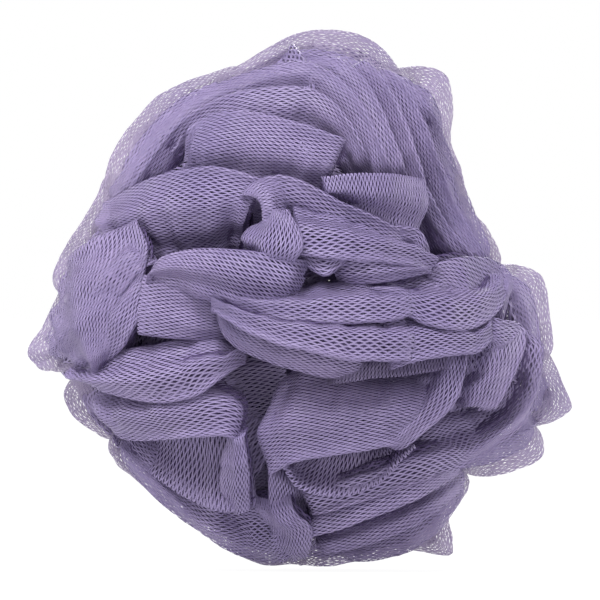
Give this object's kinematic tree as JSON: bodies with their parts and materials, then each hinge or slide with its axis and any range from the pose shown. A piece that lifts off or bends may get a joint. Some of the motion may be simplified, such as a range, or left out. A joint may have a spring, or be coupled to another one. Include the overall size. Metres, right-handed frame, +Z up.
{
  "type": "mesh bath sponge",
  "caption": "Soft ball of diamond netting, gathered into deep folds on a cord tied round its middle, with a pressed spot that it rests on.",
  "frame": {"origin": "middle of the pressed spot that the ball rests on, on the floor", "axes": "+Z up, front towards -Y, +X to the right as seen from the front"},
  "size_m": [0.1359, 0.1302, 0.1351],
  "materials": {
    "netting": "soft satin diamond netting in muted lavender",
    "tie": "pale lavender cord, matt"
  },
  "bodies": {
    "root": {"netting": "netting", "centre_tie": "tie"}
  },
  "joints": []
}
